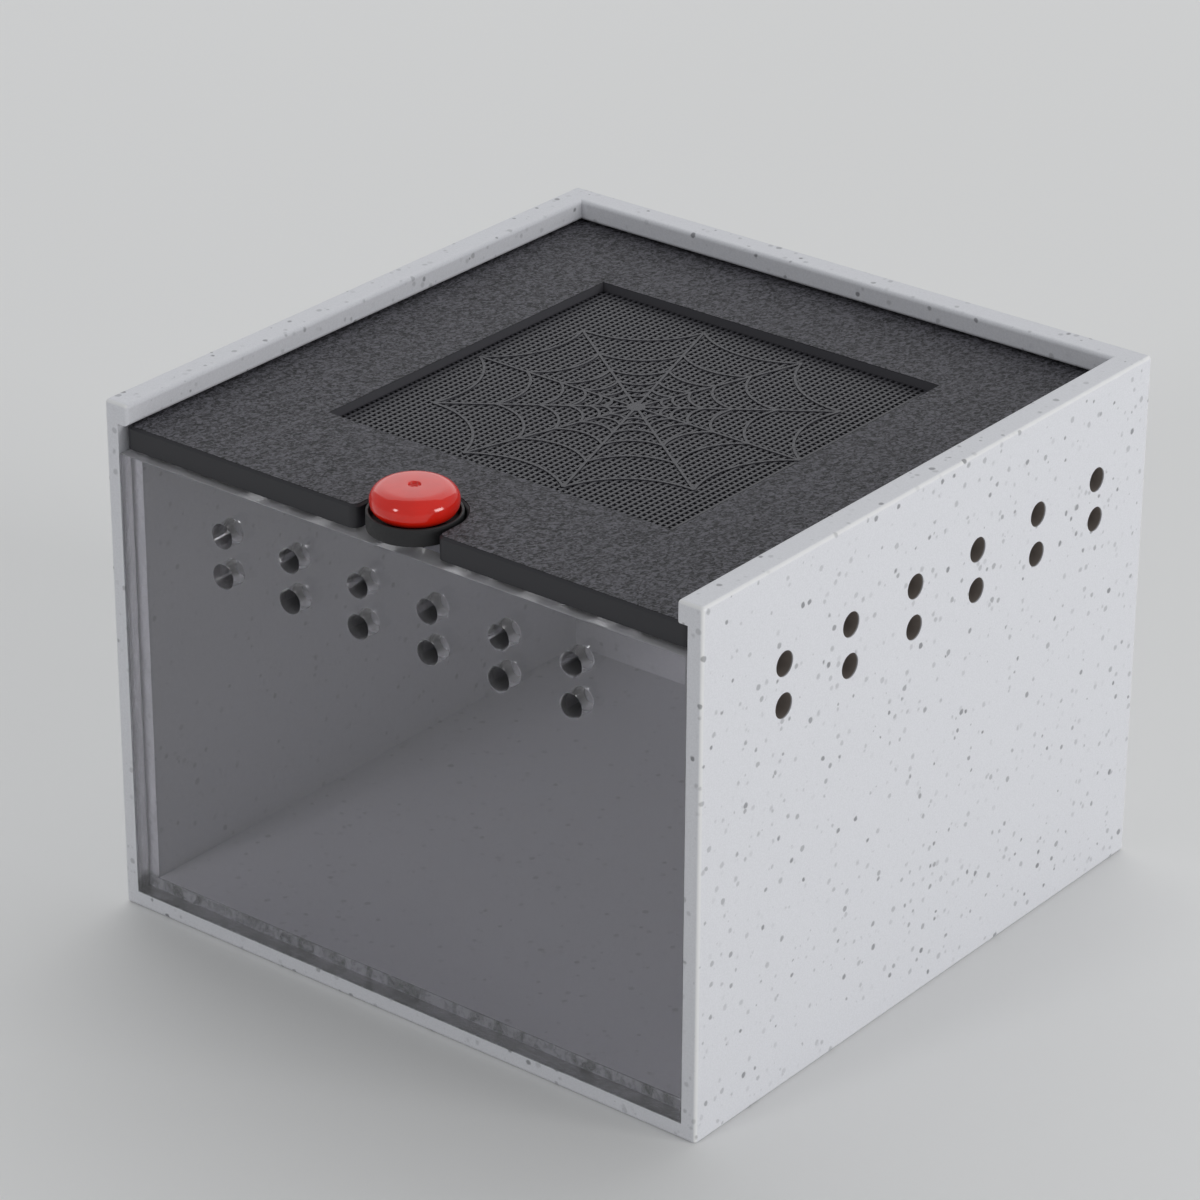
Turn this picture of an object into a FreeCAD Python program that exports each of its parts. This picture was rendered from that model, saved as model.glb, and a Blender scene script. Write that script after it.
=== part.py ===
import FreeCAD, Part
import math
import os
import re
import Sketcher
from FreeCAD import Placement, Rotation, Vector

# Small see-through box for one spider, with a lid that slides to the front and a
# push-down lock in the lid. Lengths are in millimetres. The origin is the middle of
# the base, X runs to the right, Y to the back and Z up, so the clear panel faces -Y.

doc = FreeCAD.newDocument("spider_enclosure")
sheet = doc.addObject("Spreadsheet::Sheet", "sizes")

DRIVING = {
    "box_width": 85, "box_depth": 85, "box_height": 65,
    "wall_skin": 2, "wall_rib": 1.5, "floor_skin": 2, "floor_rib": 1.5,
    "edge_round": 0.5,
    "lip_thick": 2.6, "lid_lift": 0.3, "lid_thick": 2.8, "lid_gap": 0.3,
    "lid_setback": 0.8, "lid_corner": 1, "lid_bevel": 0.3,
    "panel_thick": 3, "panel_gap": 0.1, "panel_drop": 0.5, "bond_thick": 0.2,
    "vent_dia": 3, "vent_cols": 6, "vent_rows": 2, "vent_drop": 12,
    "vent_row_pitch": 5, "front_vent_pitch": 10, "side_vent_pitch": 12,
    "side_vent_shift": 1.9,
    "window_width": 49.4, "window_depth": 50, "window_shift": 0.4,
    "screen_thick": 0.9, "screen_lift": 0.8, "screen_lap": 1.5, "screen_gap": 0.05,
    "mesh_count": 17, "mesh_bar": 0.7,
    "web_thick": 0.1, "web_strand": 0.32, "web_setback": 0.9, "web_spokes": 10, "web_rings": 6,
    "web_reach": 23.3, "web_shrink": 0.69, "web_sag": 0.18, "web_hub": 1.1,
    "lock_inset": 4.1, "notch_gap": 0.3, "notch_corner": 1.1,
    "tongue_thick": 0.9, "tongue_width": 6, "tongue_lead": 2.1,
    "cup_dia": 10.8, "cup_height": 2.1, "cup_wall": 0.35, "cup_floor": 0.5,
    "spigot_dia": 3, "spigot_gap": 0.05, "collar_wall": 0.6, "grip_section": 0.8,
    "pin_dia": 1.3, "pin_gap": 0.05, "pin_rise": 0.15,
    "foot_dia": 1.8, "foot_thick": 0.3, "foot_gap": 0.1,
    "cap_dia": 10, "cap_thick": 3.6, "cap_nest": 0.6, "cap_round": 1.7,
    "cap_crown": 0.9, "cap_hollow_dia": 6.4, "cap_boss_dia": 3, "cap_stop": 0.1,
    "dimple_dia": 1.4, "dimple_depth": 0.35, "dimple_round": 0.2,
}
DERIVED = {
    "wall_thick": "wall_skin + wall_rib",
    "floor_thick": "floor_skin + floor_rib",
    "front_y": "-box_depth / 2",
    "cavity_width": "box_width - 2 * wall_thick",
    "cavity_depth": "box_depth - wall_thick",
    "skin_width": "box_width - 2 * wall_skin",
    "slot_depth": "box_depth - wall_skin",
    "slot_height": "lid_thick + lid_lift",
    "slot_top": "box_height - lip_thick",
    "rail_top": "slot_top - slot_height",
    "lid_front": "front_y + lid_setback",
    "lid_width": "skin_width - 2 * lid_gap",
    "lid_length": "slot_depth - lid_setback - lid_gap",
    "lid_top": "rail_top + lid_thick",
    "panel_width": "skin_width - 2 * panel_gap",
    "panel_low": "floor_skin + panel_gap",
    "panel_top": "rail_top - panel_drop",
    "rebate_depth": "panel_thick + bond_thick",
    "vent_low": "box_height - vent_drop - (vent_rows - 1) * vent_row_pitch",
    "side_vent_start": "side_vent_shift - (vent_cols - 1) * side_vent_pitch / 2",
    "front_vent_start": "-(vent_cols - 1) * front_vent_pitch / 2",
    "screen_low": "rail_top + screen_lift",
    "screen_top": "screen_low + screen_thick",
    "seat_width": "window_width + 2 * screen_lap",
    "seat_depth": "window_depth + 2 * screen_lap",
    "lock_y": "front_y + lock_inset",
    "notch_width": "cup_dia + 2 * notch_gap",
    "tongue_top": "rail_top + tongue_thick",
    "cup_top": "tongue_top + cup_height",
    "cup_bore": "cup_dia - 2 * cup_wall",
    "cup_seat": "tongue_top + cup_floor",
    "pin_bore": "pin_dia + 2 * pin_gap",
    "grip_dia": "pin_bore + 2 * grip_section",
    "collar_dia": "grip_dia + 2 * collar_wall",
    "collar_top": "cup_seat + grip_section",
    "foot_bore": "foot_dia + 2 * foot_gap",
    "foot_low": "rail_top + foot_gap",
    "foot_top": "foot_low + foot_thick",
    "foot_roof": "foot_top + foot_gap",
    "pin_low": "panel_top + pin_rise",
    "cap_low": "cup_top - cap_nest",
    "cap_top": "cap_low + cap_thick",
    "cap_roof": "cap_top - cap_crown",
    "knob_travel": "cap_low - cup_seat - cap_stop",
    "boss_low": "collar_top + knob_travel + cap_stop",
}


def fill_sheet():
    """Driving sizes go in as plain numbers, and what follows from them as formulas."""
    cells = list(DRIVING.items()) + [(name, "=" + text) for name, text in DERIVED.items()]
    for row, (name, _) in enumerate(cells, start=1):
        sheet.set("A%d" % row, name)
        sheet.setAlias("B%d" % row, name)
    for row, (_, value) in enumerate(cells, start=1):
        sheet.set("B%d" % row, str(value))
    doc.recompute()


def size(name):
    return float(getattr(sheet, name))


def bound(text):
    """The expression with each size's name pointing at the sheet."""
    return re.sub(r"[a-z]\w+", lambda word: "sizes." + word.group(), text)


def tie(item, prop, text):
    item.setExpression(prop, bound(text))


def new_body(label):
    body = doc.addObject("PartDesign::Body", label)
    body.Label = label
    return body


def new_sketch(body, name, role, place):
    """A sketch on one of the body's own planes, shifted by expressions (x, y, along the normal)."""
    sketch = body.newObject("Sketcher::SketchObject", name)
    plane = next(f for f in body.Origin.OriginFeatures if f.Role == role)
    sketch.AttachmentSupport = [(plane, "")]
    sketch.MapMode = "FlatFace"
    for axis, text in zip("xyz", place):
        tie(sketch, "AttachmentOffset.Base." + axis, text)
    return sketch


def hold(sketch, geo, point, x, y):
    """Holds one point of a shape at bound distances from the sketch's origin."""
    for kind, text in (("DistanceX", x), ("DistanceY", y)):
        index = sketch.addConstraint(Sketcher.Constraint(kind, -1, 1, geo, point, 1.0))
        sketch.setExpression("Constraints[%d]" % index, bound(text))


def polygon(body, name, role, place, corners):
    """A closed outline of straight lines, each corner held by a pair of expressions."""
    sketch = new_sketch(body, name, role, place)
    count = len(corners)
    turn = 2 * math.pi / count
    ring = [Vector(math.cos(turn * k), math.sin(turn * k), 0) for k in range(count)]
    for k in range(count):
        sketch.addGeometry(Part.LineSegment(ring[k], ring[(k + 1) % count]), False)
    for k in range(count):
        sketch.addConstraint(Sketcher.Constraint("Coincident", k, 2, (k + 1) % count, 1))
    for k, (x, y) in enumerate(corners):
        hold(sketch, k, 1, x, y)
    return sketch


def oblong(body, name, role, place, width, depth):
    """A rectangle whose first corner is the sketch's origin."""
    corners = [("0", "0"), (width, "0"), (width, depth), ("0", depth)]
    return polygon(body, name, role, place, corners)


def circles(body, name, role, place, dia, centres):
    sketch = new_sketch(body, name, role, place)
    for k, (x, y) in enumerate(centres):
        sketch.addGeometry(Part.Circle(Vector(3 * k, 0, 0), Vector(0, 0, 1), 1), False)
        hold(sketch, k, 3, x, y)
        index = sketch.addConstraint(Sketcher.Constraint("Diameter", k, 2.0))
        sketch.setExpression("Constraints[%d]" % index, bound(dia))
    return sketch


def vent_grid(col_pitch):
    cols, rows = range(int(size("vent_cols"))), range(int(size("vent_rows")))
    return [("%d * %s" % (c, col_pitch), "%d * vent_row_pitch" % r) for c in cols for r in rows]


def pad(body, sketch, length):
    feature = body.newObject("PartDesign::Pad", sketch.Name + "_pad")
    feature.Profile = sketch
    tie(feature, "Length", length)
    doc.recompute()
    return feature


def pocket(body, sketch, length=None):
    """Cuts against the sketch's normal, to a bound depth or right through."""
    before = body.Shape.Volume
    feature = body.newObject("PartDesign::Pocket", sketch.Name + "_cut")
    feature.Profile = sketch
    if length:
        tie(feature, "Length", length)
    else:
        feature.Type = "ThroughAll"
    doc.recompute()
    if not body.Shape.Volume < before:
        raise ValueError(feature.Name + " cuts nothing")
    return feature


def revolve(body, sketch):
    feature = body.newObject("PartDesign::Revolution", sketch.Name + "_turn")
    feature.Profile = sketch
    feature.ReferenceAxis = (sketch, ["V_Axis"])
    feature.Angle = 360
    doc.recompute()
    return feature


def dress(body, kind, prop, amount, wanted):
    """Rounds or bevels the edges of the body's tip for which wanted(box of the edge) holds."""
    base = body.Tip
    names = ["Edge%d" % k for k, edge in enumerate(base.Shape.Edges, start=1) if wanted(edge.BoundBox)]
    if not names:
        raise ValueError("no edge to dress on " + body.Label)
    feature = body.newObject("PartDesign::" + kind, "%s_%s_%d" % (body.Name, kind, len(body.Group)))
    feature.Base = (base, names)
    tie(feature, prop, amount)
    doc.recompute()
    return feature


def near(a, b):
    return abs(a - b) < 1e-4


def level(box, z):
    return near(box.ZMin, z) and near(box.ZMax, z)


def upright(box, x, y):
    """An edge along Z at x (either side) and y."""
    return near(box.XLength, 0) and near(box.YLength, 0) and near(abs(box.XMin), x) and near(box.YMin, y)


def seat_at_lock(part, z):
    """Stands a primitive on the lock's axis at height z."""
    tie(part, "Placement.Base.y", "lock_y")
    tie(part, "Placement.Base.z", z)


def build_body_shell():
    """The printed box: floor, three walls, the lid's groove, the panel's rebate and the right wall's vents."""
    body = new_body("body_shell")
    block = oblong(body, "block", "XY_Plane", ("-box_width / 2", "front_y", "0"), "box_width", "box_depth")
    pad(body, block, "box_height")
    cavity = oblong(body, "cavity", "XY_Plane", ("-cavity_width / 2", "front_y", "box_height"),
                    "cavity_width", "cavity_depth")
    pocket(body, cavity, "box_height - floor_thick")
    groove = oblong(body, "groove", "XY_Plane", ("-skin_width / 2", "front_y", "slot_top"),
                    "skin_width", "slot_depth")
    pocket(body, groove, "slot_height")
    rebate = oblong(body, "rebate", "XZ_Plane", ("-skin_width / 2", "floor_skin", "-front_y"),
                    "skin_width", "rail_top - floor_skin")
    pocket(body, rebate, "rebate_depth")
    half_wide, half_deep = size("box_width") / 2, size("box_depth") / 2
    inner, back = size("cavity_width") / 2, half_deep - size("wall_thick")
    top, lip_low = size("box_height"), size("slot_top")

    def rounded(box):
        outer_corner = upright(box, half_wide, half_deep) or upright(box, half_wide, -half_deep)
        lip_end = upright(box, inner, -half_deep) and box.ZMin > lip_low - 1e-4
        on_side = near(box.XLength, 0) and near(abs(box.XMin), inner)
        on_back = near(box.YLength, 0) and near(box.YMin, back)
        lip_under = level(box, lip_low) and (on_side or on_back)
        return outer_corner or lip_end or level(box, top) or level(box, 0) or lip_under

    dress(body, "Fillet", "Radius", "edge_round", rounded)
    vents = circles(body, "side_vents", "YZ_Plane", ("side_vent_start", "vent_low", "box_width / 2"),
                    "vent_dia", vent_grid("side_vent_pitch"))
    pocket(body, vents, "wall_thick")
    return body


def build_front_panel():
    """Clear sheet glued into the front of the box, with two rows of vent holes."""
    body = new_body("front_panel")
    sheet_face = oblong(body, "pane", "XZ_Plane", ("-panel_width / 2", "panel_low", "-front_y - panel_thick"),
                        "panel_width", "panel_top - panel_low")
    pad(body, sheet_face, "panel_thick")
    vents = circles(body, "front_vents", "XZ_Plane", ("front_vent_start", "vent_low", "-front_y"),
                    "vent_dia", vent_grid("front_vent_pitch"))
    pocket(body, vents)
    return body


def bound_box(name, sizes, place):
    """A box primitive with its three lengths and its low corner bound to the sheet."""
    box = doc.addObject("Part::Box", name)
    for prop, text in zip(("Length", "Width", "Height"), sizes):
        tie(box, prop, text)
    for axis, text in zip("xyz", place):
        tie(box, "Placement.Base." + axis, text)
    return box


def build_panel_bond():
    """Set glue: it fills the rebate round three sides of the panel, behind and beside it."""
    filled = bound_box("bond_block", ("skin_width", "rebate_depth", "panel_top - floor_skin"),
                       ("-skin_width / 2", "front_y", "floor_skin"))
    pane = bound_box("bond_pane", ("panel_width", "panel_thick", "panel_top - floor_skin"),
                     ("-panel_width / 2", "front_y", "panel_low"))
    clear = bound_box("bond_clear", ("cavity_width", "rebate_depth", "panel_top - floor_skin"),
                      ("-cavity_width / 2", "front_y", "floor_thick"))
    tools = doc.addObject("Part::Fuse", "bond_tools")
    tools.Base, tools.Tool = pane, clear
    bond = doc.addObject("Part::Cut", "panel_bond")
    bond.Base, bond.Tool = filled, tools
    bond.Label = "panel_bond"
    return bond


def build_lid_frame():
    """The sliding lid: a window with a seat below it, and a notch in front for the lock."""
    body = new_body("lid_frame")
    plate = oblong(body, "plate", "XY_Plane", ("-lid_width / 2", "lid_front", "rail_top"),
                   "lid_width", "lid_length")
    pad(body, plate, "lid_thick")
    window = oblong(body, "window", "XY_Plane",
                    ("-window_width / 2", "window_shift - window_depth / 2", "lid_top"),
                    "window_width", "window_depth")
    pocket(body, window)
    seat = oblong(body, "seat", "XY_Plane",
                  ("-seat_width / 2", "window_shift - seat_depth / 2", "screen_top"),
                  "seat_width", "seat_depth")
    pocket(body, seat, "screen_top - rail_top")
    notch = oblong(body, "notch", "XY_Plane", ("-notch_width / 2", "lid_front", "lid_top"),
                   "notch_width", "lock_y - lid_front")
    pocket(body, notch, "lid_top - tongue_top")
    rear = circles(body, "notch_rear", "XY_Plane", ("0", "lock_y", "lid_top"), "notch_width", [("0", "0")])
    pocket(body, rear, "lid_top - tongue_top")
    reach = "lock_y - lid_front"
    lead = "lock_y - tongue_lead - lid_front"
    left, right = "notch_width / 2 - tongue_width / 2", "notch_width / 2 + tongue_width / 2"
    around = [("0", "0"), ("notch_width", "0"), ("notch_width", reach), (right, reach),
              (right, lead), (left, lead), (left, reach), ("0", reach)]
    mouth = polygon(body, "mouth", "XY_Plane", ("-notch_width / 2", "lid_front", "tongue_top"), around)
    pocket(body, mouth, "tongue_thick")
    spigot = circles(body, "spigot_hole", "XY_Plane", ("0", "lock_y", "tongue_top"),
                     "spigot_dia + 2 * spigot_gap", [("0", "0")])
    pocket(body, spigot)
    half_lid, half_notch, front = size("lid_width") / 2, size("notch_width") / 2, size("lid_front")
    dress(body, "Fillet", "Radius", "lid_corner", lambda box: upright(box, half_lid, front))
    dress(body, "Fillet", "Radius", "notch_corner", lambda box: upright(box, half_notch, front))
    top, window_front = size("lid_top"), size("window_shift") - size("window_depth") / 2
    half_window = size("window_width") / 2

    def outline(box):
        in_window = box.YMin > window_front - 1e-4 and max(abs(box.XMin), abs(box.XMax)) < half_window + 1e-4
        return level(box, top) and not in_window

    dress(body, "Chamfer", "Size", "lid_bevel", outline)
    return body


def square_wire(x0, y0, x1, y1):
    return Part.makePolygon([Vector(x0, y0), Vector(x1, y0), Vector(x1, y1), Vector(x0, y1), Vector(x0, y0)])


def own_shape(label, shape, height):
    """A piece drawn round the origin, set on the middle of the window at a height."""
    feature = doc.addObject("Part::Feature", label)
    feature.Shape = shape
    feature.Label = label
    feature.Placement = Placement(Vector(0, size("window_shift"), height), Rotation())
    return feature


def build_lid_screen():
    """The vent screen under the window. It is one holed face with fewer, larger meshes than the real one."""
    half_x = size("seat_width") / 2 - size("screen_gap")
    half_y = size("seat_depth") / 2 - size("screen_gap")
    count = int(size("mesh_count"))
    step_x, step_y = size("window_width") / count, size("window_depth") / count
    hole_x, hole_y = step_x - size("mesh_bar"), step_y - size("mesh_bar")
    wires = [square_wire(-half_x, -half_y, half_x, half_y)]
    for i in range(count):
        for k in range(count):
            x = (i + 0.5 - count / 2) * step_x
            y = (k + 0.5 - count / 2) * step_y
            wires.append(square_wire(x - hole_x / 2, y - hole_y / 2, x + hole_x / 2, y + hole_y / 2))
    face = Part.makeFace(wires, "Part::FaceMakerBullseye")
    return own_shape("lid_screen", face.extrude(Vector(0, 0, size("screen_thick"))), size("screen_low"))


def strand(start, end, sag, width):
    """A flat strand from start to end, bowed by sag towards the web's middle."""
    middle = (start + end) / 2
    if sag <= 0:
        side = Vector(start.y - end.y, end.x - start.x, 0)
        side = side / side.Length * width / 2
        ring = [start + side, end + side, end - side, start - side, start + side]
        return Part.Face(Part.makePolygon(ring))
    inward = middle / middle.Length
    half = (end - start).Length / 2
    radius = (half * half + sag * sag) / (2 * sag)
    hub = middle + inward * (radius - sag)
    low = middle - inward * sag
    rails = []
    for r in (radius - width / 2, radius + width / 2):
        ends = [hub + (p - hub) / (p - hub).Length * r for p in (start, end)]
        rails.append((ends[0], hub + (low - hub) / (low - hub).Length * r, ends[1]))
    inner, outer = rails
    edges = [Part.Arc(*inner).toShape(), Part.LineSegment(inner[2], outer[2]).toShape(),
             Part.Arc(*outer[::-1]).toShape(), Part.LineSegment(outer[0], inner[0]).toShape()]
    return Part.Face(Part.Wire(edges))


def build_screen_web():
    """Raised web on the screen: straight spokes and rings of strands that sag inwards."""
    spokes, rings = int(size("web_spokes")), int(size("web_rings"))
    width = size("web_strand")
    turn = 2 * math.pi / spokes

    def at(radius, k):
        return Vector(radius * math.cos(turn * k), radius * math.sin(turn * k), 0)

    faces = [Part.Face(Part.Wire(Part.makeCircle(size("web_hub"))))]
    for k in range(spokes):
        faces.append(strand(Vector(0, 0, 0), at(size("web_reach"), k), 0, width))
    for ring in range(rings):
        radius = size("web_reach") * size("web_shrink") ** ring
        for k in range(spokes):
            start, end = at(radius, k), at(radius, k + 1)
            faces.append(strand(start, end, size("web_sag") * (end - start).Length, width))
    bars = [face.extrude(Vector(0, 0, size("web_thick"))) for face in faces]
    web = bars[0].multiFuse(bars[1:]).removeSplitter()
    web.translate(Vector(0, -size("web_setback"), 0))
    return own_shape("screen_web", web, size("screen_top"))


def lock_profile(body, name, corners):
    """A turned outline on the lock's axis: corners are (diameter, height) expressions."""
    points = [("(%s) / 2" % dia if dia != "0" else "0", height) for dia, height in corners]
    sketch = polygon(body, name, "XZ_Plane", ("0", "0", "-lock_y"), points)
    return revolve(body, sketch)


def build_lock_cup():
    """Black guide cup: its spigot goes down through the tongue and its collar holds the grip ring."""
    body = new_body("lock_cup")
    lock_profile(body, "cup_outline", [
        ("foot_bore", "rail_top"), ("spigot_dia", "rail_top"), ("spigot_dia", "tongue_top"),
        ("cup_dia", "tongue_top"), ("cup_dia", "cup_top"), ("cup_bore", "cup_top"),
        ("cup_bore", "cup_seat"), ("collar_dia", "cup_seat"), ("collar_dia", "collar_top"),
        ("grip_dia", "collar_top"), ("grip_dia", "cup_seat"), ("pin_bore", "cup_seat"),
        ("pin_bore", "foot_roof"), ("foot_bore", "foot_roof")])
    return body


def build_lock_pin():
    """Steel pin: its foot stops it from leaving the cup, and its tip drops behind the panel."""
    body = new_body("lock_pin")
    lock_profile(body, "pin_outline", [
        ("0", "pin_low"), ("pin_dia", "pin_low"), ("pin_dia", "foot_low"), ("foot_dia", "foot_low"),
        ("foot_dia", "foot_top"), ("pin_dia", "foot_top"), ("pin_dia", "cap_roof"), ("0", "cap_roof")])
    return body


def build_lock_knob():
    """Red push knob: hollow below, with a boss that the pin is pressed into."""
    body = new_body("lock_knob")
    lock_profile(body, "cap_outline", [
        ("0", "cap_roof"), ("pin_dia", "cap_roof"), ("pin_dia", "boss_low"), ("cap_boss_dia", "boss_low"),
        ("cap_boss_dia", "cap_roof"), ("cap_hollow_dia", "cap_roof"), ("cap_hollow_dia", "cap_low"),
        ("cap_dia", "cap_low"), ("cap_dia", "cap_top"), ("0", "cap_top")])
    rim, low, top = size("cap_dia"), size("cap_low"), size("cap_top")
    dress(body, "Fillet", "Radius", "cap_round",
          lambda box: near(box.XLength, rim) and (level(box, low) or level(box, top)))
    dimple = circles(body, "dimple", "XY_Plane", ("0", "lock_y", "cap_top"), "dimple_dia", [("0", "0")])
    pocket(body, dimple, "dimple_depth")
    bore = size("dimple_dia")
    dress(body, "Fillet", "Radius", "dimple_round",
          lambda box: near(box.XLength, bore) and level(box, top))
    return body


def build_grip_ring():
    """Rubber ring in the cup's collar: it grips the pin, so the knob stays where it is put."""
    ring = doc.addObject("Part::Torus", "grip_ring")
    tie(ring, "Radius1", "(pin_bore + grip_section) / 2")
    tie(ring, "Radius2", "grip_section / 2")
    seat_at_lock(ring, "cup_seat + grip_section / 2")
    ring.Label = "grip_ring"
    return ring


fill_sheet()
pieces = [
    build_body_shell(), build_front_panel(), build_panel_bond(),
    build_lid_frame(), build_lid_screen(), build_screen_web(),
    build_lock_cup(), build_grip_ring(), build_lock_pin(), build_lock_knob(),
]
doc.recompute()

for item in doc.Objects:
    if {"Invalid", "Error"} & set(item.State):
        raise ValueError("%s is %s" % (item.Name, item.State))
os.makedirs("parts", exist_ok=True)
for piece in pieces:
    shape = piece.Shape
    if shape.isNull() or not shape.isValid():
        raise ValueError(piece.Label + " has no valid shape")
    shape.exportStep("parts/%s.step" % piece.Label)
    print("%-12s %d solid(s), %9.2f mm3" % (piece.Label, len(shape.Solids), shape.Volume))
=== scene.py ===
import math

import bmesh
import bpy
from mathutils import Matrix, Vector


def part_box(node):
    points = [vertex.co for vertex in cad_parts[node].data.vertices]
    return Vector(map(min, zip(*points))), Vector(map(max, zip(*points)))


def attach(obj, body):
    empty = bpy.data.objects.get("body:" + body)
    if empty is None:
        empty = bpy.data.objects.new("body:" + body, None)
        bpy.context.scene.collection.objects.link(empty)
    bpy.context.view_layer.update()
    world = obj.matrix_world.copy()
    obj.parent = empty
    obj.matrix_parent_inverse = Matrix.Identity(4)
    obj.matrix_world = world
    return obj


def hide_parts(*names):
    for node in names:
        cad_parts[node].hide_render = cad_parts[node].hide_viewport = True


bl_info = {
    "name": "Spider Enclosure",
    "version": (1, 0, 0),
    "blender": (4, 5, 0),
    "location": "View3D > Sidebar > Enclosure",
    "description": "Dresses a small box with a clear front, a vented sliding lid and a push lock",
    "category": "Object",
}

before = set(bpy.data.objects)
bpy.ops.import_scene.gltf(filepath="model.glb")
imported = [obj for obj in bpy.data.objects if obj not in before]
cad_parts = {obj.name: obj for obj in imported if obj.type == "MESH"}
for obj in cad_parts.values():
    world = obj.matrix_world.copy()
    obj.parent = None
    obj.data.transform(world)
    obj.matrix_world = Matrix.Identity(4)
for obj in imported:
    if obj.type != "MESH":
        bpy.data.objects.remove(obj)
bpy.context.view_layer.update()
MM = 0.001
PHOTO_SIDE = 1200
SENSOR = 36.0
GRAIN_TURN = math.radians(-75)


def add(tree, kind, feeds=None, **props):
    """A node with its settings, and its inputs fed by constants or by other nodes' outputs."""
    node = tree.nodes.new(kind)
    for name, value in props.items():
        setattr(node, name, value)
    for key, value in (feeds or {}).items():
        if isinstance(value, bpy.types.NodeSocket):
            tree.links.new(value, node.inputs[key])
        else:
            node.inputs[key].default_value = value
    return node


def maths(tree, operation, a, b=0.0, clamp=False):
    return add(tree, "ShaderNodeMath", {0: a, 1: b}, operation=operation, use_clamp=clamp).outputs[0]


def ramp(tree, value, low, high, out_low=0.0, out_high=1.0):
    """A smooth step of a value from one range to another."""
    feeds = {"Value": value, "From Min": low, "From Max": high, "To Min": out_low, "To Max": out_high}
    return add(tree, "ShaderNodeMapRange", feeds, interpolation_type="SMOOTHSTEP").outputs["Result"]


def blend_colour(tree, factor, a, b):
    node = add(tree, "ShaderNodeMix", {0: factor, 6: a, 7: b}, data_type="RGBA")
    return node.outputs[2]


def noise(tree, where, scale, detail=3.0, rough=0.5, warp=0.0):
    feeds = {"Vector": where, "Scale": scale, "Detail": detail, "Roughness": rough, "Distortion": warp}
    return add(tree, "ShaderNodeTexNoise", feeds)


def in_millimetres(tree):
    """The place on the piece, in millimetres of the object's own space."""
    place = add(tree, "ShaderNodeTexCoord").outputs["Object"]
    return add(tree, "ShaderNodeVectorMath", {0: place, "Scale": 1 / MM}, operation="SCALE").outputs[0]


def bump(tree, height, depth, strength=1.0, under=None):
    """A bump of a depth in metres, over another one if there is one."""
    feeds = {"Height": height, "Distance": depth, "Strength": strength}
    if under is not None:
        feeds["Normal"] = under
    return add(tree, "ShaderNodeBump", feeds).outputs["Normal"]


def new_finish(name, colour, roughness, **sockets):
    """A material with one Principled shader. Underscores stand for spaces in the sockets' names."""
    material = bpy.data.materials.new(name)
    material.use_nodes = True
    tree = material.node_tree
    shader = tree.nodes["Principled BSDF"]
    shader.inputs["Base Color"].default_value = (*colour, 1.0)
    shader.inputs["Roughness"].default_value = roughness
    for key, value in sockets.items():
        shader.inputs[key.replace("_", " ")].default_value = value
    return material, tree, shader


def paint(piece, material):
    piece.data.materials.clear()
    piece.data.materials.append(material)
    return piece


def speck_layer(tree, where, spacing, radius, soft):
    """Round grains of random size, spacing millimetres apart, and a random number for each."""
    cells = add(tree, "ShaderNodeTexVoronoi", {"Vector": where, "Scale": 1 / spacing})
    lot = add(tree, "ShaderNodeTexWhiteNoise", {"Vector": cells.outputs["Color"]})
    chance = add(tree, "ShaderNodeSeparateColor", {0: lot.outputs["Color"]})
    reach = ramp(tree, chance.outputs[0], 0.0, 1.0, 0.4 * radius / spacing, radius / spacing)
    inside = maths(tree, "SUBTRACT", reach, cells.outputs["Distance"])
    return ramp(tree, inside, 0.0, soft / spacing), chance.outputs[1]


def edge_highlight_mask(tree, where, half, reach):
    """1 on the box's outer edges, where two or more of its outer faces are within reach; there the shell gets a
    painted highlight.
    """
    parts = add(tree, "ShaderNodeSeparateXYZ", {0: where}).outputs
    closeness = [ramp(tree, maths(tree, "ABSOLUTE", parts[k]), half - reach, half - 0.2 * reach) for k in (0, 1)]
    closeness.append(ramp(tree, parts[2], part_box("body_shell")[1].z / MM - reach,
                          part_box("body_shell")[1].z / MM - 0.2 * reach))
    total = maths(tree, "ADD", maths(tree, "ADD", closeness[0], closeness[1]), closeness[2])
    return ramp(tree, total, 1.1, 1.9)


def outer_skin(tree, where, half):
    """1 on the box's outer faces and 0 in the cabin, where the print's layers hide most grains."""
    parts = add(tree, "ShaderNodeSeparateXYZ", {0: where}).outputs
    far = maths(tree, "MAXIMUM", maths(tree, "ABSOLUTE", parts[0]), maths(tree, "ABSOLUTE", parts[1]))
    high = ramp(tree, parts[2], 62.0, 62.5)
    return maths(tree, "MAXIMUM", ramp(tree, far, half - 1.5, half - 1.0), high)


def within(tree, value, low, high, soft):
    """1 where a value lies between two limits, with soft ends inside them."""
    return maths(tree, "MULTIPLY", ramp(tree, value, low, low + soft), ramp(tree, value, high, high - soft))


def bore_shade_mask(tree, where, sizes):
    """1 on the walls of the right wall's vent holes, which are painted darker as painted shade."""
    parts = add(tree, "ShaderNodeSeparateXYZ", {0: where}).outputs
    outer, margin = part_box("body_shell")[1].x / MM, sizes.vent_width / MM
    reach = (sizes.vent_columns - 1) / 2 * sizes.side_pitch / MM + margin
    top = sizes.vent_high / MM
    foot = top - sizes.vent_row_pitch / MM
    deep = within(tree, parts[0], outer - sizes.wall / MM, outer - 0.05, 0.2)
    level = within(tree, parts[2], foot - margin, top + margin, 0.5)
    shift = sizes.side_shift / MM
    beside = within(tree, parts[1], shift - reach, shift + reach, 0.5)
    return maths(tree, "MULTIPLY", maths(tree, "MULTIPLY", deep, level), beside)


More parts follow.
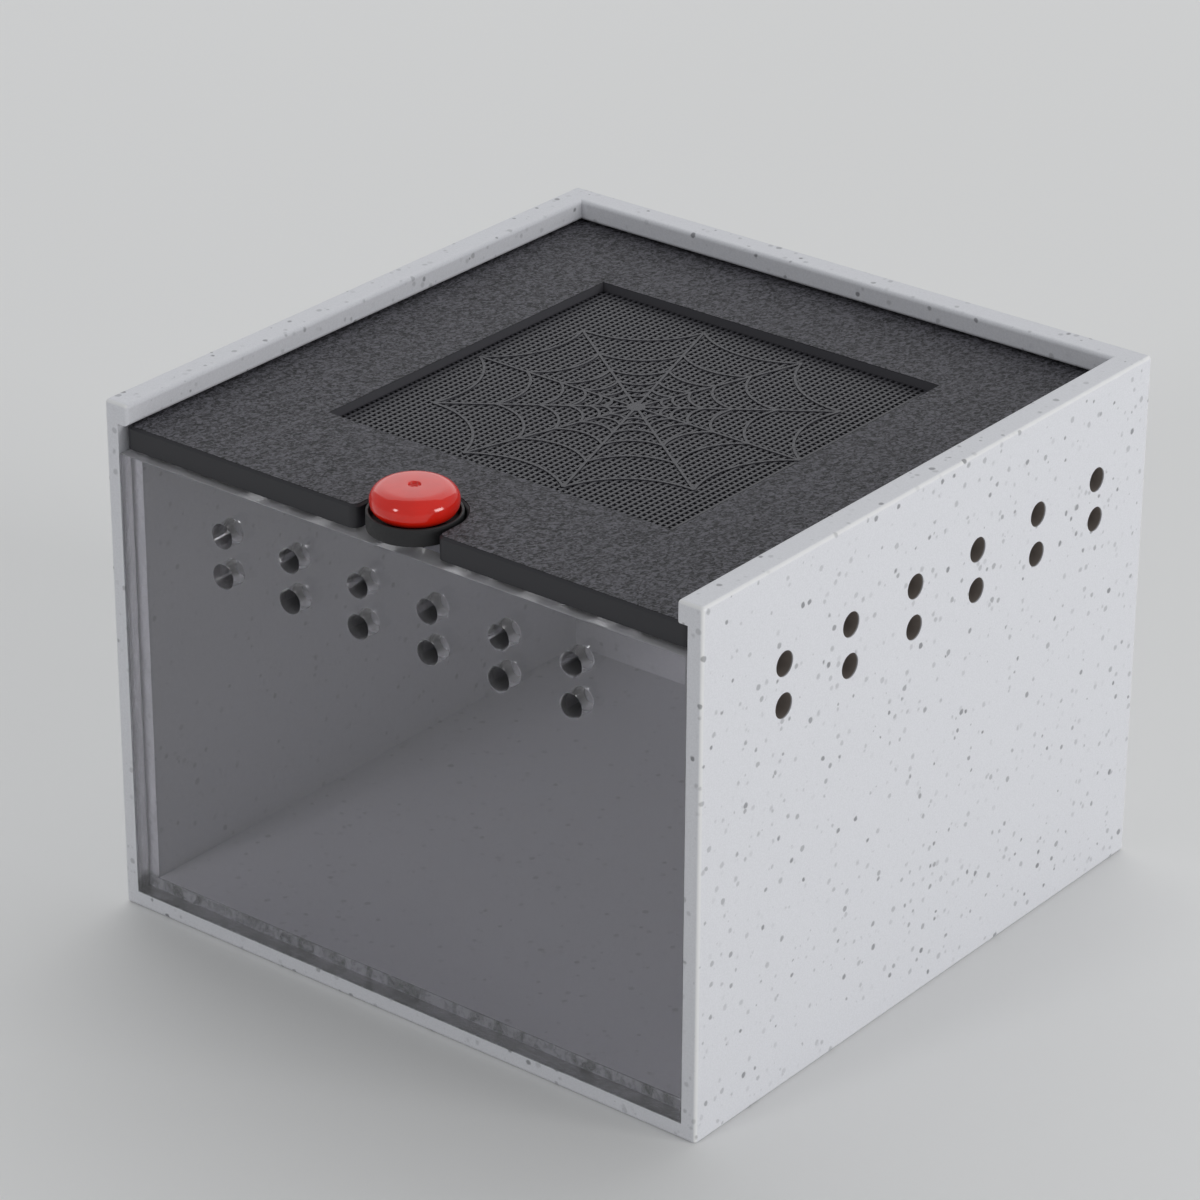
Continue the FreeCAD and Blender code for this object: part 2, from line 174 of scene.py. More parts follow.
def terrazzo_finish(name, colours, sizes):
    """Pale printed plastic with fine dark grains, some of them just under the skin."""
    material, tree, shader = new_finish(name, colours.shell, 0.42, IOR=1.46)
    where = in_millimetres(tree)
    stir = noise(tree, where, 1.6, 1.0)
    moved = add(tree, "ShaderNodeVectorMath", {0: stir.outputs["Color"], 1: (0.5, 0.5, 0.5)}, operation="SUBTRACT")
    push = add(tree, "ShaderNodeVectorMath", {0: moved.outputs[0], "Scale": 0.3}, operation="SCALE")
    warped = add(tree, "ShaderNodeVectorMath", {0: where, 1: push.outputs[0]}, operation="ADD").outputs[0]
    dark, dark_chance = speck_layer(tree, warped, 1.75, 0.47, 0.2)
    sunk, sunk_chance = speck_layer(tree, warped, 1.5, 0.5, 0.3)
    strong = maths(tree, "MULTIPLY", dark, ramp(tree, dark_chance, 0.0, 1.0, 0.25, 0.75))
    faint = maths(tree, "MULTIPLY", sunk, ramp(tree, sunk_chance, 0.1, 1.0, 0.08, 0.36))
    most = maths(tree, "MAXIMUM", strong, faint)
    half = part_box("body_shell")[1].x / MM
    edge = edge_highlight_mask(tree, where, half, 0.55)
    tooth = noise(tree, where, 5.5, 3.0, 0.6).outputs["Fac"]
    print_tone = blend_colour(tree, ramp(tree, tooth, 0.3, 0.7), (*[c * 0.95 for c in colours.shell], 1),
                              (*[c * 1.04 for c in colours.shell], 1))
    # The outer edges are painted paler: a painted highlight along the rounded edges.
    ground = blend_colour(tree, edge, print_tone, (*colours.shell_edge_highlight, 1))
    outside = outer_skin(tree, where, half)
    seen = maths(tree, "MULTIPLY", most, ramp(tree, outside, 0.0, 1.0, 0.4, 1.0))
    skin = blend_colour(tree, seen, ground, (*colours.speck, 1))
    # The vent holes' walls are painted dark brown-grey: painted shade inside the bores.
    shaded_bores = blend_colour(tree, bore_shade_mask(tree, where, sizes), skin, (*colours.bore_shade, 1))
    tree.links.new(shaded_bores, shader.inputs["Base Color"])
    tree.links.new(ramp(tree, tooth, 0.25, 0.75, 0.36, 0.5), shader.inputs["Roughness"])
    tree.links.new(bump(tree, tooth, 0.012 * MM, 0.6), shader.inputs["Normal"])
    return material


def window_light_mask(tree, where, sizes):
    """1 inside the lid's window, on the walls that fall to the screen, which are painted paler as painted light."""
    parts = add(tree, "ShaderNodeSeparateXYZ", {0: where}).outputs
    low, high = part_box("lid_screen")
    across = maths(tree, "SUBTRACT", maths(tree, "ABSOLUTE", parts[0]), sizes.window / MM / 2)
    offset = maths(tree, "ABSOLUTE", maths(tree, "SUBTRACT", parts[1], (low.y + high.y) / 2 / MM))
    along = maths(tree, "SUBTRACT", offset, sizes.window_depth / MM / 2)
    return ramp(tree, maths(tree, "MAXIMUM", across, along), 0.3, 0.1)


def grained_finish(name, colours, sizes, grain_from):
    """Dark printed plastic: the top has a fine leathery grain, and the sides are smooth. The window's walls are
    painted paler, as painted light.
    """
    material, tree, shader = new_finish(name, colours.lid_side, 0.5, IOR=1.46)
    where = in_millimetres(tree)
    height = add(tree, "ShaderNodeSeparateXYZ", {0: where}).outputs["Z"]
    on_top = ramp(tree, height, grain_from / MM - 0.06, grain_from / MM)
    turned_place = add(tree, "ShaderNodeMapping", {0: where, "Rotation": (0, 0, GRAIN_TURN)}).outputs[0]
    drawn = add(tree, "ShaderNodeVectorMath", {0: turned_place, 1: (0.75, 1.0, 1.0)}, operation="MULTIPLY").outputs[0]
    folds = noise(tree, drawn, 1.1, 2.0, 0.5, 0.6).outputs["Fac"]
    wisps = noise(tree, drawn, 2.4, 2.0, 0.55, 0.9).outputs["Fac"]
    crumbs = noise(tree, drawn, 5.0, 2.0, 0.6).outputs["Fac"]
    relief = maths(tree, "ADD", maths(tree, "MULTIPLY", folds, 0.25), maths(tree, "MULTIPLY", wisps, 0.6))
    relief = maths(tree, "ADD", relief, maths(tree, "MULTIPLY", crumbs, 0.15))
    top = blend_colour(tree, ramp(tree, relief, 0.38, 0.62), (*colours.lid_low, 1), (*colours.lid_high, 1))
    # The window's walls get a paler copy of the lid's side colour: painted light on walls that the lamps leave in
    # shade.
    rim = window_light_mask(tree, where, sizes)
    plain = blend_colour(tree, rim, (*colours.lid_side, 1), (*colours.lid_recess_painted_light, 1))
    tree.links.new(blend_colour(tree, on_top, plain, top), shader.inputs["Base Color"])
    tree.links.new(maths(tree, "ADD", 0.46, maths(tree, "MULTIPLY", on_top, 0.2)), shader.inputs["Roughness"])
    coarse = maths(tree, "MULTIPLY", relief, on_top)
    first = bump(tree, coarse, 0.7 * MM, 1.0)
    tree.links.new(bump(tree, crumbs, 0.01 * MM, 0.5, first), shader.inputs["Normal"])
    return material


def satin_finish(name, colour, roughness, tooth_scale, depth):
    """Moulded or printed plastic with a fine tooth and slightly uneven gloss."""
    material, tree, shader = new_finish(name, colour, roughness, IOR=1.47)
    where = in_millimetres(tree)
    tooth = noise(tree, where, tooth_scale, 4.0, 0.6).outputs["Fac"]
    worn = blend_colour(tree, ramp(tree, tooth, 0.35, 0.75), (*colour, 1), (*[min(1, c * 1.35) for c in colour], 1))
    tree.links.new(worn, shader.inputs["Base Color"])
    tree.links.new(ramp(tree, tooth, 0.3, 0.7, roughness * 0.85, roughness * 1.15), shader.inputs["Roughness"])
    tree.links.new(bump(tree, tooth, depth, 0.6), shader.inputs["Normal"])
    return material


def screen_finish(name, colours, top):
    """Printed bars of the window's screen, with painted shade darkening the walls of the meshes between them."""
    material, tree, shader = new_finish(name, colours.screen, 0.5, IOR=1.47)
    where = in_millimetres(tree)
    height = add(tree, "ShaderNodeSeparateXYZ", {0: where}).outputs["Z"]
    on_bar = ramp(tree, height, top / MM - 0.3, top / MM - 0.1)
    tooth = noise(tree, where, 6.0, 4.0, 0.6).outputs["Fac"]
    worn = blend_colour(tree, ramp(tree, tooth, 0.35, 0.75), (*colours.screen, 1),
                        (*[c * 1.3 for c in colours.screen], 1))
    # Below the bar tops the screen is painted near black: painted shade on the mesh walls.
    tree.links.new(blend_colour(tree, on_bar, (*colours.mesh_wall_shade, 1), worn), shader.inputs["Base Color"])
    tree.links.new(ramp(tree, tooth, 0.3, 0.7, 0.42, 0.58), shader.inputs["Roughness"])
    tree.links.new(bump(tree, tooth, 0.01 * MM, 0.6), shader.inputs["Normal"])
    return material


def clear_finish(name, front, back, top):
    """Cast clear sheet, polished on both faces, satin in its holes and sawn on top. Lamps reach what is behind it
    through a grey tint. The grey tint is partly the sheet's own smoky tone and partly painted shade that darkens the
    cabin behind it.
    """
    material, tree, shader = new_finish(name, (0.86, 0.85, 0.875), 0.0, IOR=1.25, Coat_Weight=1.0)
    where = in_millimetres(tree)
    parts = add(tree, "ShaderNodeSeparateXYZ", {0: where}).outputs
    depth, height = parts["Y"], parts["Z"]
    from_middle = maths(tree, "ABSOLUTE", maths(tree, "SUBTRACT", depth, (front + back) / 2 / MM))
    half = (back - front) / 2 / MM
    cut = ramp(tree, from_middle, half - 0.02, half - 0.1)
    film = noise(tree, where, 0.12, 4.0, 0.6, 0.4).outputs["Fac"]
    haze = ramp(tree, film, 0.45, 0.8, 0.0, 0.03)
    sawn = maths(tree, "MULTIPLY", cut, ramp(tree, height, top / MM - 0.2, top / MM - 0.05))
    rough = maths(tree, "ADD", maths(tree, "MULTIPLY", cut, 0.09), maths(tree, "MULTIPLY", sawn, 0.16))
    tree.links.new(maths(tree, "ADD", haze, rough), shader.inputs["Roughness"])
    clear = maths(tree, "ADD", maths(tree, "MULTIPLY", cut, 0.15), maths(tree, "MULTIPLY", sawn, 0.35))
    tree.links.new(maths(tree, "SUBTRACT", 1.0, clear), shader.inputs["Transmission Weight"])
    # Lamp light through the sheet is dimmed by a grey tint: painted shade for the cabin behind it.
    through = add(tree, "ShaderNodeBsdfTransparent", {0: (0.79, 0.78, 0.81, 1)})
    lamp_ray = add(tree, "ShaderNodeLightPath").outputs["Is Shadow Ray"]
    pick = add(tree, "ShaderNodeMixShader", {0: lamp_ray, 1: shader.outputs[0], 2: through.outputs[0]})
    tree.links.new(pick.outputs[0], tree.nodes["Material Output"].inputs["Surface"])
    return material


def glue_finish(name, colours):
    """Set glue: a thin cloudy bead up the middle of the side films, darker wet patches below, clear elsewhere."""
    material, tree, shader = new_finish(name, colours.glue, 0.3, IOR=1.47)
    where = in_millimetres(tree)
    parts = add(tree, "ShaderNodeSeparateXYZ", {0: where}).outputs
    squeezed = add(tree, "ShaderNodeVectorMath", {0: where, 1: (1.0, 1.0, 0.5)}, operation="MULTIPLY").outputs[0]
    runs = noise(tree, squeezed, 0.5, 4.0, 0.6, 0.8).outputs["Fac"]
    beads = noise(tree, where, 1.6, 2.0).outputs["Fac"]
    cloud = maths(tree, "ADD", maths(tree, "MULTIPLY", runs, 0.6), maths(tree, "MULTIPLY", beads, 0.4))
    path = maths(tree, "ADD", parts[1], maths(tree, "MULTIPLY", maths(tree, "SUBTRACT", runs, 0.5), 2.4))
    off_line = maths(tree, "ABSOLUTE", maths(tree, "ADD", path, 41.0))
    width = ramp(tree, beads, 0.35, 0.6, 0.08, 0.4)
    streak = ramp(tree, maths(tree, "SUBTRACT", width, off_line), -0.05, 0.12)
    at_side = ramp(tree, maths(tree, "ABSOLUTE", parts[0]), 40.38, 40.42)
    at_foot = ramp(tree, parts[2], 4.4, 3.4)
    wet = ramp(tree, cloud, 0.42, 0.58)
    white = maths(tree, "MULTIPLY", streak, at_side)
    dull = maths(tree, "MULTIPLY", wet, at_foot)
    tree.links.new(blend_colour(tree, dull, (*colours.glue, 1), (*colours.wet_glue, 1)), shader.inputs["Base Color"])
    share = maths(tree, "ADD", maths(tree, "MULTIPLY", white, 0.6), maths(tree, "MULTIPLY", at_foot, 0.4))
    share = maths(tree, "ADD", share, ramp(tree, cloud, 0.5, 0.62, 0.02, 0.1), clamp=True)
    tree.links.new(share, shader.inputs["Alpha"])
    tree.links.new(bump(tree, cloud, 0.08 * MM), shader.inputs["Normal"])
    return material


def gloss_finish(name, colour):
    """Polished plastic under a clear skin, with faint handling marks."""
    material, tree, shader = new_finish(name, colour, 0.12, IOR=1.47, Coat_Weight=0.35, Coat_Roughness=0.1)
    where = in_millimetres(tree)
    depth = noise(tree, where, 0.5, 2.0).outputs["Fac"]
    shade = blend_colour(tree, ramp(tree, depth, 0.3, 0.7), (*[c * 0.93 for c in colour], 1), (*colour, 1))
    tree.links.new(shade, shader.inputs["Base Color"])
    marks = noise(tree, where, 3.0, 5.0, 0.7, 1.2).outputs["Fac"]
    tree.links.new(ramp(tree, marks, 0.35, 0.75, 0.08, 0.16), shader.inputs["Roughness"])
    tree.links.new(bump(tree, depth, 0.01 * MM, 0.5), shader.inputs["Normal"])
    return material


def turned_finish(name, colour):
    """Turned steel: fine rings round the pin."""
    material, tree, shader = new_finish(name, colour, 0.3, Metallic=1.0)
    where = in_millimetres(tree)
    height = add(tree, "ShaderNodeSeparateXYZ", {0: where}).outputs["Z"]
    rings = maths(tree, "SINE", maths(tree, "MULTIPLY", height, 42.0))
    wobble = maths(tree, "MULTIPLY", rings, noise(tree, where, 1.7, 2.0).outputs["Fac"])
    tree.links.new(ramp(tree, wobble, -0.6, 0.6, 0.22, 0.38), shader.inputs["Roughness"])
    tree.links.new(bump(tree, wobble, 0.006 * MM), shader.inputs["Normal"])
    return material


def finish_piece(name, bm, material, body, node=None, flat=(), smooth_below=math.radians(40)):
    """Makes the mesh a piece that rides on its body, shaded smooth apart from the faces across a flat direction."""
    bmesh.ops.recalc_face_normals(bm, faces=bm.faces)
    for face in bm.faces:
        face.smooth = not any(abs(face.normal[axis]) > 0.9999 for axis in flat)
    for edge in bm.edges:
        edge.smooth = edge.is_manifold and edge.calc_face_angle(math.pi) < smooth_below
    mesh = bpy.data.meshes.new(name)
    bm.to_mesh(mesh)
    bm.free()
    piece = bpy.data.objects.new(name, mesh)
    bpy.context.scene.collection.objects.link(piece)
    paint(piece, material)
    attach(piece, body)
    if node:
        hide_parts(node)
    return piece


def settings():
    return bpy.context.scene.enclosure


def rgb(name, default, note):
    return bpy.props.FloatVectorProperty(
        name=name, description=note, default=default, subtype="COLOR", size=3, min=0.0, max=1.0)


def length(name, default, note):
    """A length in metres, given here in millimetres."""
    return bpy.props.FloatProperty(
        name=name, description=note, default=default * MM, min=0.0, precision=5, subtype="DISTANCE", unit="LENGTH")


class EnclosureColours(bpy.types.PropertyGroup):
    shell: rgb("Shell", (0.67, 0.675, 0.705), "Pale printed plastic of the box")
    # Shell edge is a painted highlight: the paler colour on the box's rounded outer edges.
    shell_edge_highlight: rgb("Shell edge", (0.8, 0.8, 0.8), "Paler plastic on the shell's worn edges")
    speck: rgb("Speck", (0.11, 0.112, 0.12), "Grains in the shell")
    # Bore is painted shade: the darker colour inside the vent holes of the right wall.
    bore_shade: rgb("Bore", (0.26, 0.225, 0.2), "Walls of the vent holes in the shell")
    lid_side: rgb("Lid side", (0.022, 0.022, 0.026), "Smooth sides of the lid")
    # Lid recess is painted light: a paler copy of the lid's side colour for the window's walls.
    lid_recess_painted_light: rgb("Lid recess", (0.07, 0.069, 0.077), "Walls of the window in the lid")
    lid_low: rgb("Lid low", (0.008, 0.008, 0.01), "Hollows of the lid's grain")
    lid_high: rgb("Lid high", (0.118, 0.115, 0.133), "Ridges of the lid's grain")
    screen: rgb("Screen", (0.043, 0.042, 0.049), "Fine screen in the window")
    # Mesh depth is painted shade: the near-black colour on the walls between the screen's bars.
    mesh_wall_shade: rgb("Mesh depth", (0.008, 0.008, 0.009), "Walls of the screen's meshes")
    web: rgb("Web", (0.044, 0.043, 0.05), "Raised web on the screen")
    knob: rgb("Knob", (0.76, 0.016, 0.006), "Push knob")
    cup: rgb("Cup", (0.014, 0.014, 0.015), "Cup under the knob")
    glue: rgb("Glue", (0.75, 0.76, 0.78), "Set glue round the clear sheet")
    wet_glue: rgb("Wet glue", (0.3, 0.32, 0.3), "Patches where the glue shows what is under it")


class EnclosureSizes(bpy.types.PropertyGroup):
    wall: length("Wall", 3.5, "Thickness of the box's side walls")
    side_pitch: length("Side vent pitch", 12.0, "Distance between the columns of vent holes in the right wall")
    side_shift: length("Side vent shift", 1.9, "How far the right wall's vent holes lie behind its middle")
    vent_width: length("Vent width", 3.0, "Diameter of the vent holes in the clear sheet")
    vent_pitch: length("Vent pitch", 10.0, "Distance between the columns of vent holes")
    vent_row_pitch: length("Vent row pitch", 5.0, "Distance between the two rows of vent holes")
    vent_high: length("Vent height", 53.0, "Height of the upper row of vent holes")
    sheet_round: length("Sheet edge", 0.12, "Rounding of the clear sheet's edges")
    window: length("Window width", 49.4, "Width of the lid's window")
    window_depth: length("Window depth", 50.0, "Depth of the lid's window from front to back")
    mesh_bar: length("Mesh bar", 0.34, "Width of the screen's long bars")
    mesh_cross: length("Mesh crossbar", 0.26, "Width of the screen's crossbars")
    mesh_step: length("Mesh step", 0.05, "How far the crossbars lie below the long bars")
    knob_round: length("Knob rounding", 1.7, "Rounding of the knob's rims")
    knob_crown: length("Knob crown", 0.16, "How far the knob's top falls from the middle to its rim")
    knob_hollow: length("Knob hollow", 6.4, "Diameter of the hollow under the knob")
    dimple: length("Dimple", 1.4, "Diameter of the dimple in the knob's top")
    dimple_depth: length("Dimple depth", 0.35, "Depth of the dimple")
    tongue: length("Tongue", 0.9, "Thickness of the lid's tongue, which the cup stands on")
    cup_wall: length("Cup wall", 0.35, "Wall of the cup")
    cup_floor: length("Cup floor", 0.5, "Floor of the cup")
    mesh_cells: bpy.props.IntProperty(name="Mesh cells", description="Meshes along one side of the window", default=60, min=4)
    vent_columns: bpy.props.IntProperty(name="Vent columns", description="Columns of vent holes", default=6, min=1)


class Enclosure(bpy.types.PropertyGroup):
    colours: bpy.props.PointerProperty(type=EnclosureColours)
    sizes: bpy.props.PointerProperty(type=EnclosureSizes)


class ENCLOSURE_OT_shell(bpy.types.Operator):
    """Give the printed box its speckled finish"""
    bl_idname = "enclosure.shell"
    bl_label = "Box Shell"

    def execute(self, context):
        paint(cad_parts["body_shell"], terrazzo_finish("shell_print", settings().colours, settings().sizes))
        return {"FINISHED"}


class ENCLOSURE_OT_clear_sheet(bpy.types.Operator):
    """Build the clear front sheet with its vent holes, and finish the glue round it"""
    bl_idname = "enclosure.clear_sheet"
    bl_label = "Clear Sheet"

    def execute(self, context):
        sizes = settings().sizes
        low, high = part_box("front_panel")
        bm = bmesh.new()
        corners = [bm.verts.new((x, low.y, z)) for x, z in
                   ((low.x, low.z), (high.x, low.z), (high.x, high.z), (low.x, high.z))]
        for k, corner in enumerate(corners):
            bm.edges.new((corner, corners[(k + 1) % len(corners)]))
        middle = (sizes.vent_columns - 1) / 2
        for column in range(sizes.vent_columns):
            for row in range(2):
                place = Vector(((column - middle) * sizes.vent_pitch, low.y,
                                sizes.vent_high - row * sizes.vent_row_pitch))
                bmesh.ops.create_circle(bm, cap_ends=False, segments=48, radius=sizes.vent_width / 2,
                                        matrix=Matrix.Translation(place) @ Matrix.Rotation(math.pi / 2, 4, "X"))
        bmesh.ops.triangle_fill(bm, use_beauty=True, use_dissolve=False, edges=bm.edges[:])
        grown = bmesh.ops.extrude_face_region(bm, geom=bm.faces[:])["geom"]
        bmesh.ops.translate(bm, verts=[v for v in grown if isinstance(v, bmesh.types.BMVert)],
                            vec=(0, high.y - low.y, 0))
        bmesh.ops.recalc_face_normals(bm, faces=bm.faces)
        rims = [e for e in bm.edges if e.calc_face_angle(0) > math.radians(60)]
        bmesh.ops.bevel(bm, geom=rims, offset=sizes.sheet_round, offset_type="OFFSET", segments=2,
                        profile=0.5, affect="EDGES", material=-1)
        finish_piece("clear_sheet", bm, clear_finish("clear_panel", low.y, high.y, high.z), "box",
                     "front_panel", flat=(0, 1, 2))
        paint(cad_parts["panel_bond"], glue_finish("glue", settings().colours))
        return {"FINISHED"}


class ENCLOSURE_OT_lid(bpy.types.Operator):
    """Give the sliding lid its grained top"""
    bl_idname = "enclosure.lid"
    bl_label = "Lid Plate"

    def execute(self, context):
        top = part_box("lid_frame")[1].z
        paint(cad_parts["lid_frame"], grained_finish("lid_print", settings().colours, settings().sizes, top))
        return {"FINISHED"}


class ENCLOSURE_OT_screen(bpy.types.Operator):
    """Build the fine screen in the lid's window, and finish the web on it"""
    bl_idname = "enclosure.screen"
    bl_label = "Window Screen"

    def execute(self, context):
        sizes, colours = settings().sizes, settings().colours
        low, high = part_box("lid_screen")
        middle = (low + high) / 2

        def lines(centre, span, bar, first, last):
            """Where the bars' edges lie along one axis, with the screen's solid rim outside."""
            start, pitch = centre - span / 2, span / sizes.mesh_cells
            inner = [start + k * pitch + side * bar / 2 for k in range(1, sizes.mesh_cells) for side in (-1, 1)]
            return [first, start, *inner, start + span, last]

        across = lines(middle.x, sizes.window, sizes.mesh_bar, low.x, high.x)
        along = lines(middle.y, sizes.window_depth, sizes.mesh_cross, low.y, high.y)
        bm = bmesh.new()
        bmesh.ops.create_grid(bm, x_segments=len(across) - 1, y_segments=len(along) - 1, size=0.5)
        bm.verts.ensure_lookup_table()
        for k, vertex in enumerate(bm.verts):
            row, column = divmod(k, len(across))
            vertex.co = (across[column], along[row], low.z)
        last_column, last_row = len(across) - 2, len(along) - 2
        bm.faces.ensure_lookup_table()
        holes, long_bars = [], []
        for face in bm.faces:
            centre = face.calc_center_median()
            column = sum(centre.x > x for x in across) - 1
            row = sum(centre.y > y for y in along) - 1
            in_bar = column in (0, last_column) or column % 2 == 0
            in_cross = row in (0, last_row) or row % 2 == 0
            if not (in_bar or in_cross):
                holes.append(face)
            elif in_bar or row in (0, last_row):
                long_bars.append((centre.x, centre.y))
        bmesh.ops.delete(bm, geom=holes, context="FACES")
        raised = set((round(x, 7), round(y, 7)) for x, y in long_bars)
        grown = bmesh.ops.extrude_face_region(bm, geom=bm.faces[:])["geom"]
        top_faces = [f for f in grown if isinstance(f, bmesh.types.BMFace)]
        top_verts = [v for v in grown if isinstance(v, bmesh.types.BMVert)]
        bmesh.ops.translate(bm, verts=top_verts, vec=(0, 0, high.z - low.z - sizes.mesh_step))

        def is_long(face):
            centre = face.calc_center_median()
            return (round(centre.x, 7), round(centre.y, 7)) in raised

        lifted = bmesh.ops.extrude_face_region(bm, geom=[f for f in top_faces if is_long(f)])["geom"]
        bmesh.ops.translate(bm, verts=[v for v in lifted if isinstance(v, bmesh.types.BMVert)],
                            vec=(0, 0, sizes.mesh_step))
        finish_piece("window_screen", bm, screen_finish("screen_print", colours, high.z),
                     "lid", "lid_screen", flat=(0, 1, 2))
        paint(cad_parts["screen_web"], satin_finish("web_print", colours.web, 0.5, 6.0, 0.01 * MM))
        return {"FINISHED"}


def turned(corners, steps=96):
    """Spins an outline of (radius, height, rounding) corners round the vertical axis."""
    bm = bmesh.new()
    chain = [bm.verts.new((radius, 0, height)) for radius, height, _ in corners]
    for a, b in zip(chain, chain[1:]):
        bm.edges.new((a, b))
    for vertex, (_, _, rounding) in zip(chain, corners):
        if rounding:
            bmesh.ops.bevel(bm, geom=[vertex], offset=rounding, offset_type="OFFSET", segments=10,
                            profile=0.5, affect="VERTICES", material=-1)
    bmesh.ops.spin(bm, geom=bm.verts[:] + bm.edges[:], cent=(0, 0, 0), axis=(0, 0, 1), dvec=(0, 0, 0),
                   angle=2 * math.pi, steps=steps, use_merge=True, use_duplicate=False)
    bmesh.ops.remove_doubles(bm, verts=bm.verts, dist=1e-7)
    return bm


class ENCLOSURE_OT_lock(bpy.types.Operator):
    """Build the cup and the push knob, and finish the pin and its ring"""
    bl_idname = "enclosure.lock"
    bl_label = "Push Lock"

    def execute(self, context):
        sizes, colours = settings().sizes, settings().colours
        low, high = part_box("lock_knob")
        axis = Vector(((low.x + high.x) / 2, (low.y + high.y) / 2, 0))
        rim, tall = (high.x - low.x) / 2, high.z - low.z
        hollow, pit = sizes.knob_hollow / 2, sizes.dimple / 2
        roof = tall - 0.9 * MM
        knob = turned([
            (0, roof, 0), (hollow, roof, 0.3 * MM), (hollow, 0, 0.15 * MM), (rim, 0, sizes.knob_round),
            (rim, tall, sizes.knob_round), (pit, tall, 0.15 * MM),
            (pit - 0.1 * MM, tall - sizes.dimple_depth, 0.2 * MM), (0, tall - sizes.dimple_depth, 0)])
        for vertex in knob.verts:
            if vertex.co.z > tall / 2:
                share = math.hypot(vertex.co.x, vertex.co.y) / rim
                vertex.co.z -= sizes.knob_crown * share ** 2 * (vertex.co.z - tall / 2) / (tall / 2)
        bmesh.ops.translate(knob, verts=knob.verts, vec=axis + Vector((0, 0, low.z)))
        finish_piece("push_knob", knob, gloss_finish("knob_plastic", colours.knob), "knob",
                     "lock_knob")
        low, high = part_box("lock_cup")
        rim = (high.x - low.x) / 2
        seat = low.z + sizes.tongue
        cup = turned([
            (0.95 * MM, low.z, 0), (1.5 * MM, low.z, 0), (1.5 * MM, seat, 0), (rim, seat, 0.15 * MM),
            (rim, high.z, 0.12 * MM), (rim - sizes.cup_wall, high.z, 0.12 * MM),
            (rim - sizes.cup_wall, seat + sizes.cup_floor, 0.3 * MM), (0.7 * MM, seat + sizes.cup_floor, 0),
            (0.7 * MM, seat, 0), (0.95 * MM, low.z + 0.5 * MM, 0), (0.95 * MM, low.z, 0)])
        bmesh.ops.translate(cup, verts=cup.verts, vec=axis)
        finish_piece("guide_cup", cup, satin_finish("cup_plastic", colours.cup, 0.6, 3.0, 0.012 * MM),
                     "lid", "lock_cup")
        paint(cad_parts["grip_ring"], satin_finish("ring_rubber", (0.02, 0.02, 0.02), 0.7, 8.0, 0.01 * MM))
        paint(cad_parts["lock_pin"], turned_finish("pin_steel", (0.58, 0.58, 0.6)))
        return {"FINISHED"}


CAMERA = {
    "place": Vector((307.33, -392.98, 281.48)) * MM,
    "azimuth": math.radians(38.461), "elevation": math.radians(26.141), "roll": math.radians(0.252),
    "focal_pixels": 4773.1,
}


def make_camera():
    """The camera at the photograph's view."""
    data = bpy.data.cameras.new("photo_view")
    data.sensor_width = SENSOR
    data.lens = CAMERA["focal_pixels"] / PHOTO_SIDE * SENSOR
    data.clip_start, data.clip_end = 0.01, 20
    camera = bpy.data.objects.new("photo_view", data)
    azimuth, elevation = CAMERA["azimuth"], CAMERA["elevation"]
    ahead = Vector((-math.sin(azimuth) * math.cos(elevation), math.cos(azimuth) * math.cos(elevation),
                    -math.sin(elevation)))
    turn = ahead.to_track_quat("-Z", "Y").to_matrix().to_4x4() @ Matrix.Rotation(CAMERA["roll"], 4, "Z")
    camera.matrix_world = Matrix.Translation(CAMERA["place"]) @ turn
    bpy.context.scene.collection.objects.link(camera)
    bpy.context.scene.camera = camera


def soft_lamp(name, place, aim, size, power, colour=(1, 1, 1)):
    data = bpy.data.lights.new(name, "AREA")
    data.shape, data.size, data.size_y = "RECTANGLE", size[0], size[1]
    data.energy, data.color = power, colour
    lamp = bpy.data.objects.new(name, data)
    lamp.location = place
    lamp.rotation_mode = "QUATERNION"
    lamp.rotation_quaternion = (Vector(aim) - Vector(place)).to_track_quat("-Z", "Y")
    bpy.context.scene.collection.objects.link(lamp)
    return lamp


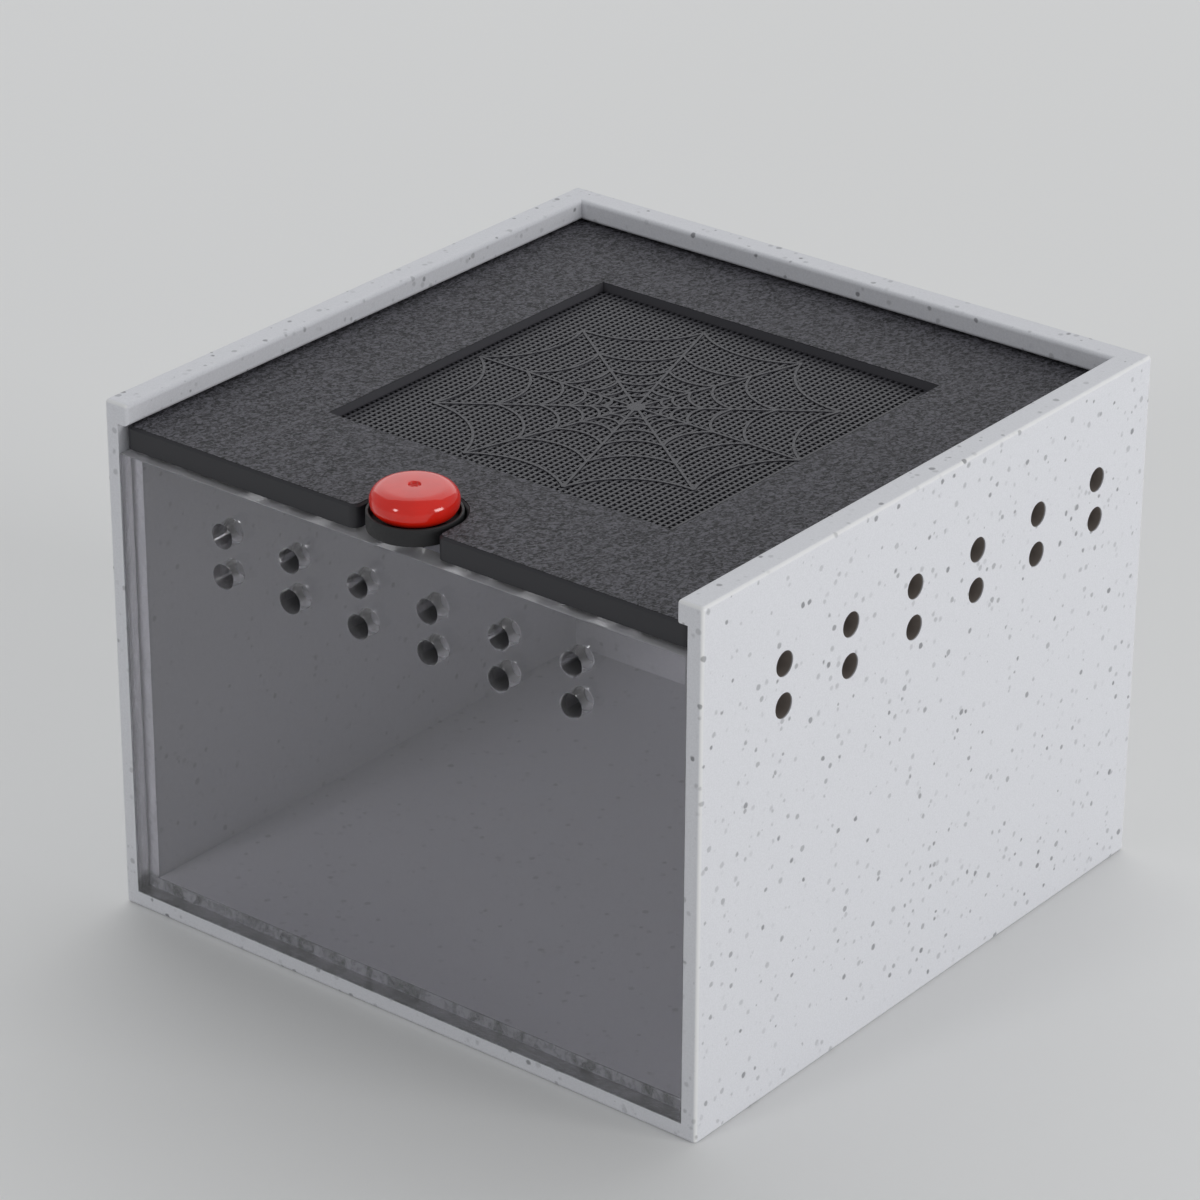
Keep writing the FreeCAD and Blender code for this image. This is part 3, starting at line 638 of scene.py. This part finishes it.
class ENCLOSURE_OT_stage(bpy.types.Operator):
    """Set the floor, the soft lamps and the camera"""
    bl_idname = "enclosure.stage"
    bl_label = "Stage"

    def execute(self, context):
        bm = bmesh.new()
        bmesh.ops.create_grid(bm, x_segments=1, y_segments=1, size=4.0)
        mesh = bpy.data.meshes.new("floor")
        bm.to_mesh(mesh)
        bm.free()
        floor = bpy.data.objects.new("floor", mesh)
        context.scene.collection.objects.link(floor)
        paint(floor, new_finish("floor_paper", (0.8, 0.8, 0.79), 0.8)[0])
        world = bpy.data.worlds.new("studio")
        world.use_nodes = True
        world.node_tree.nodes["Background"].inputs[0].default_value = (0.95, 0.97, 1.0, 1)
        world.node_tree.nodes["Background"].inputs[1].default_value = 0.42
        context.scene.world = world
        middle = (0, 0, 0.04)
        soft_lamp("key", (0.68, 0.11, 0.17), middle, (0.28, 0.28), 2.0)
        soft_lamp("back_sky", (-0.45, 0.57, 0.68), middle, (1.6, 1.2), 4.5)
        soft_lamp("front_box", (-0.12, -0.74, 0.33), middle, (0.13, 0.2), 0.7)
        make_camera()
        context.scene.view_settings.view_transform = "Standard"
        return {"FINISHED"}


OPERATORS = (ENCLOSURE_OT_shell, ENCLOSURE_OT_clear_sheet, ENCLOSURE_OT_lid, ENCLOSURE_OT_screen,
             ENCLOSURE_OT_lock, ENCLOSURE_OT_stage)


class ENCLOSURE_PT_panel(bpy.types.Panel):
    """Lists the pieces and their sizes and colours"""
    bl_idname = "ENCLOSURE_PT_panel"
    bl_label = "Spider Enclosure"
    bl_space_type = "VIEW_3D"
    bl_region_type = "UI"
    bl_category = "Enclosure"

    def draw(self, context):
        for operator in OPERATORS:
            self.layout.operator(operator.bl_idname)
        for group in (context.scene.enclosure.sizes, context.scene.enclosure.colours):
            box = self.layout.box()
            for name in group.bl_rna.properties.keys():
                if name not in ("name", "rna_type"):
                    box.prop(group, name)


CLASSES = (EnclosureColours, EnclosureSizes, Enclosure, *OPERATORS, ENCLOSURE_PT_panel)


def register():
    for cls in CLASSES:
        bpy.utils.register_class(cls)
    bpy.types.Scene.enclosure = bpy.props.PointerProperty(type=Enclosure)


def unregister():
    del bpy.types.Scene.enclosure
    for cls in reversed(CLASSES):
        bpy.utils.unregister_class(cls)


def main():
    register()
    bpy.ops.enclosure.shell()
    bpy.ops.enclosure.clear_sheet()
    bpy.ops.enclosure.lid()
    bpy.ops.enclosure.screen()
    bpy.ops.enclosure.lock()
    bpy.ops.enclosure.stage()


if __name__ == "__main__":
    main()
